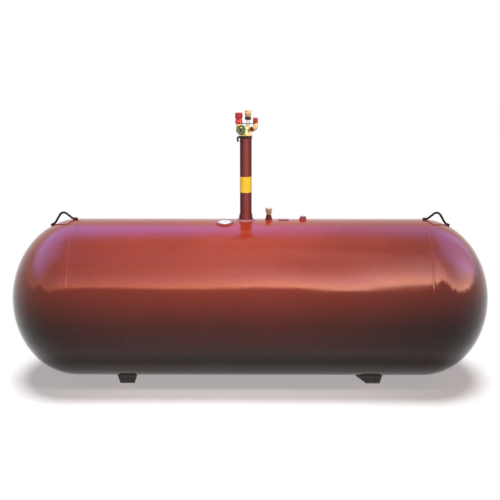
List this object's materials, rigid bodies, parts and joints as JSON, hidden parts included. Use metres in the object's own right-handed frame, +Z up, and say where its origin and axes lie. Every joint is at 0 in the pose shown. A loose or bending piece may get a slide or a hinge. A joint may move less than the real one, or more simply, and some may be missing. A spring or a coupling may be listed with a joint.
{
  "type": "horizontal pressure tank",
  "caption": "Horizontal cylindrical pressure tank with dished ends, lifting lugs, welded feet and a tall riser pipe carrying a brass valve head with a green handwheel.",
  "frame": {"origin": "on the ground under the middle of the tank, at the centre of the bounding box's bottom", "axes": "+X along the tank towards the end that is right in the picture, +Y to its back, +Z up"},
  "size_m": [3, 1.0052, 1.709],
  "materials": {
    "vessel_paint": "glossy red-brown epoxy paint",
    "fitting_paint": "glossy red-brown paint, a little darker",
    "dark_paint": "dark paint, satin",
    "band": "plain yellow foil",
    "brass": "cast and machined brass, dulled",
    "steel": "zinc plated steel",
    "red_plastic": "moulded red plastic",
    "green_plastic": "moulded green plastic",
    "white_plastic": "white plastic",
    "seat_rubber": "black rubber ring"
  },
  "bodies": {
    "tank": {"shell": "vessel_paint", "left_head": "vessel_paint", "right_head": "vessel_paint", "left_girth_weld": "vessel_paint", "right_girth_weld": "vessel_paint", "long_seam_weld": "vessel_paint", "left_foot": "vessel_paint", "right_foot": "vessel_paint", "left_foot_front_plate": "vessel_paint", "left_foot_rear_plate": "vessel_paint", "right_foot_front_plate": "vessel_paint", "right_foot_rear_plate": "vessel_paint", "right_foot_brace": "vessel_paint", "left_lug": "dark_paint", "right_lug": "dark_paint", "riser_pad": "vessel_paint", "riser_socket": "fitting_paint", "riser_pipe": "fitting_paint", "label_band": "band", "riser_collar": "dark_paint", "collar_hook": "dark_paint", "valve_body": "brass", "outlet_nipple": "brass", "cap_strap": "steel", "fill_cap": "red_plastic", "vapour_cap": "red_plastic", "relief_neck": "steel", "relief_ring": "seat_rubber", "relief_cap": "brass", "bonnet": "brass", "gauge_boss": "fitting_paint", "gauge_bezel": "dark_paint", "gauge_dial": "white_plastic", "drawoff_socket": "fitting_paint", "drawoff_valve": "brass", "drawoff_cap": "brass", "crown_plate": "dark_paint", "plug_socket": "dark_paint", "socket_plug": "dark_paint"},
    "handwheel": {"handwheel": "green_plastic", "valve_stem": "steel", "wheel_nut": "steel"}
  },
  "joints": [
    {"name": "handwheel_turn", "type": "hinge", "parent": "tank", "child": "handwheel", "pos_m": [-0.04, 0, 1.563], "axis": [-0.2174, -0.8721, 0.4384], "range_deg": [0, 900]}
  ]
}
